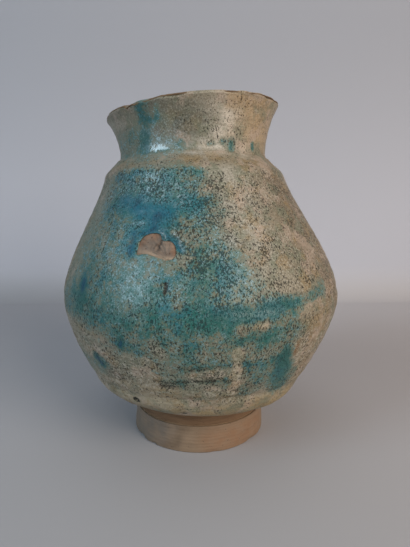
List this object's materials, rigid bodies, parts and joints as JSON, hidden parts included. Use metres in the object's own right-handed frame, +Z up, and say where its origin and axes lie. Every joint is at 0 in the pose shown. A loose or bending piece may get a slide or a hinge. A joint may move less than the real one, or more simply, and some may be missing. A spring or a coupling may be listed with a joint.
{
  "type": "pottery vase",
  "caption": "Footed, round-bodied pottery jar with a flared, slanting neck and a weathered turquoise glaze, for holding water, flowers or dry goods.",
  "frame": {"origin": "middle of the belly's width and depth, on the plane that the foot ring stands on", "axes": "+Z up along the jar's height; the pictured side, with the lug root, faces -Y"},
  "size_m": [0.1288, 0.1288, 0.1537],
  "materials": {
    "bare_clay": "bare fired clay, matt",
    "body_clay": "fired clay under glaze, matt",
    "slip_clay": "fired slip, matt",
    "broken_clay": "broken clay, rough",
    "outer_glaze": "weathered, pitted alkaline glaze",
    "inner_glaze": "thin alkaline glaze"
  },
  "bodies": {
    "root": {"foot_ring": "bare_clay", "lower_body": "body_clay", "upper_body": "body_clay", "neck": "bare_clay", "neck_collar": "body_clay", "foot_slip": "slip_clay", "belly_slip": "slip_clay", "neck_slip": "slip_clay", "lug_root": "broken_clay", "outer_glaze": "outer_glaze", "inner_glaze": "inner_glaze"}
  },
  "joints": []
}
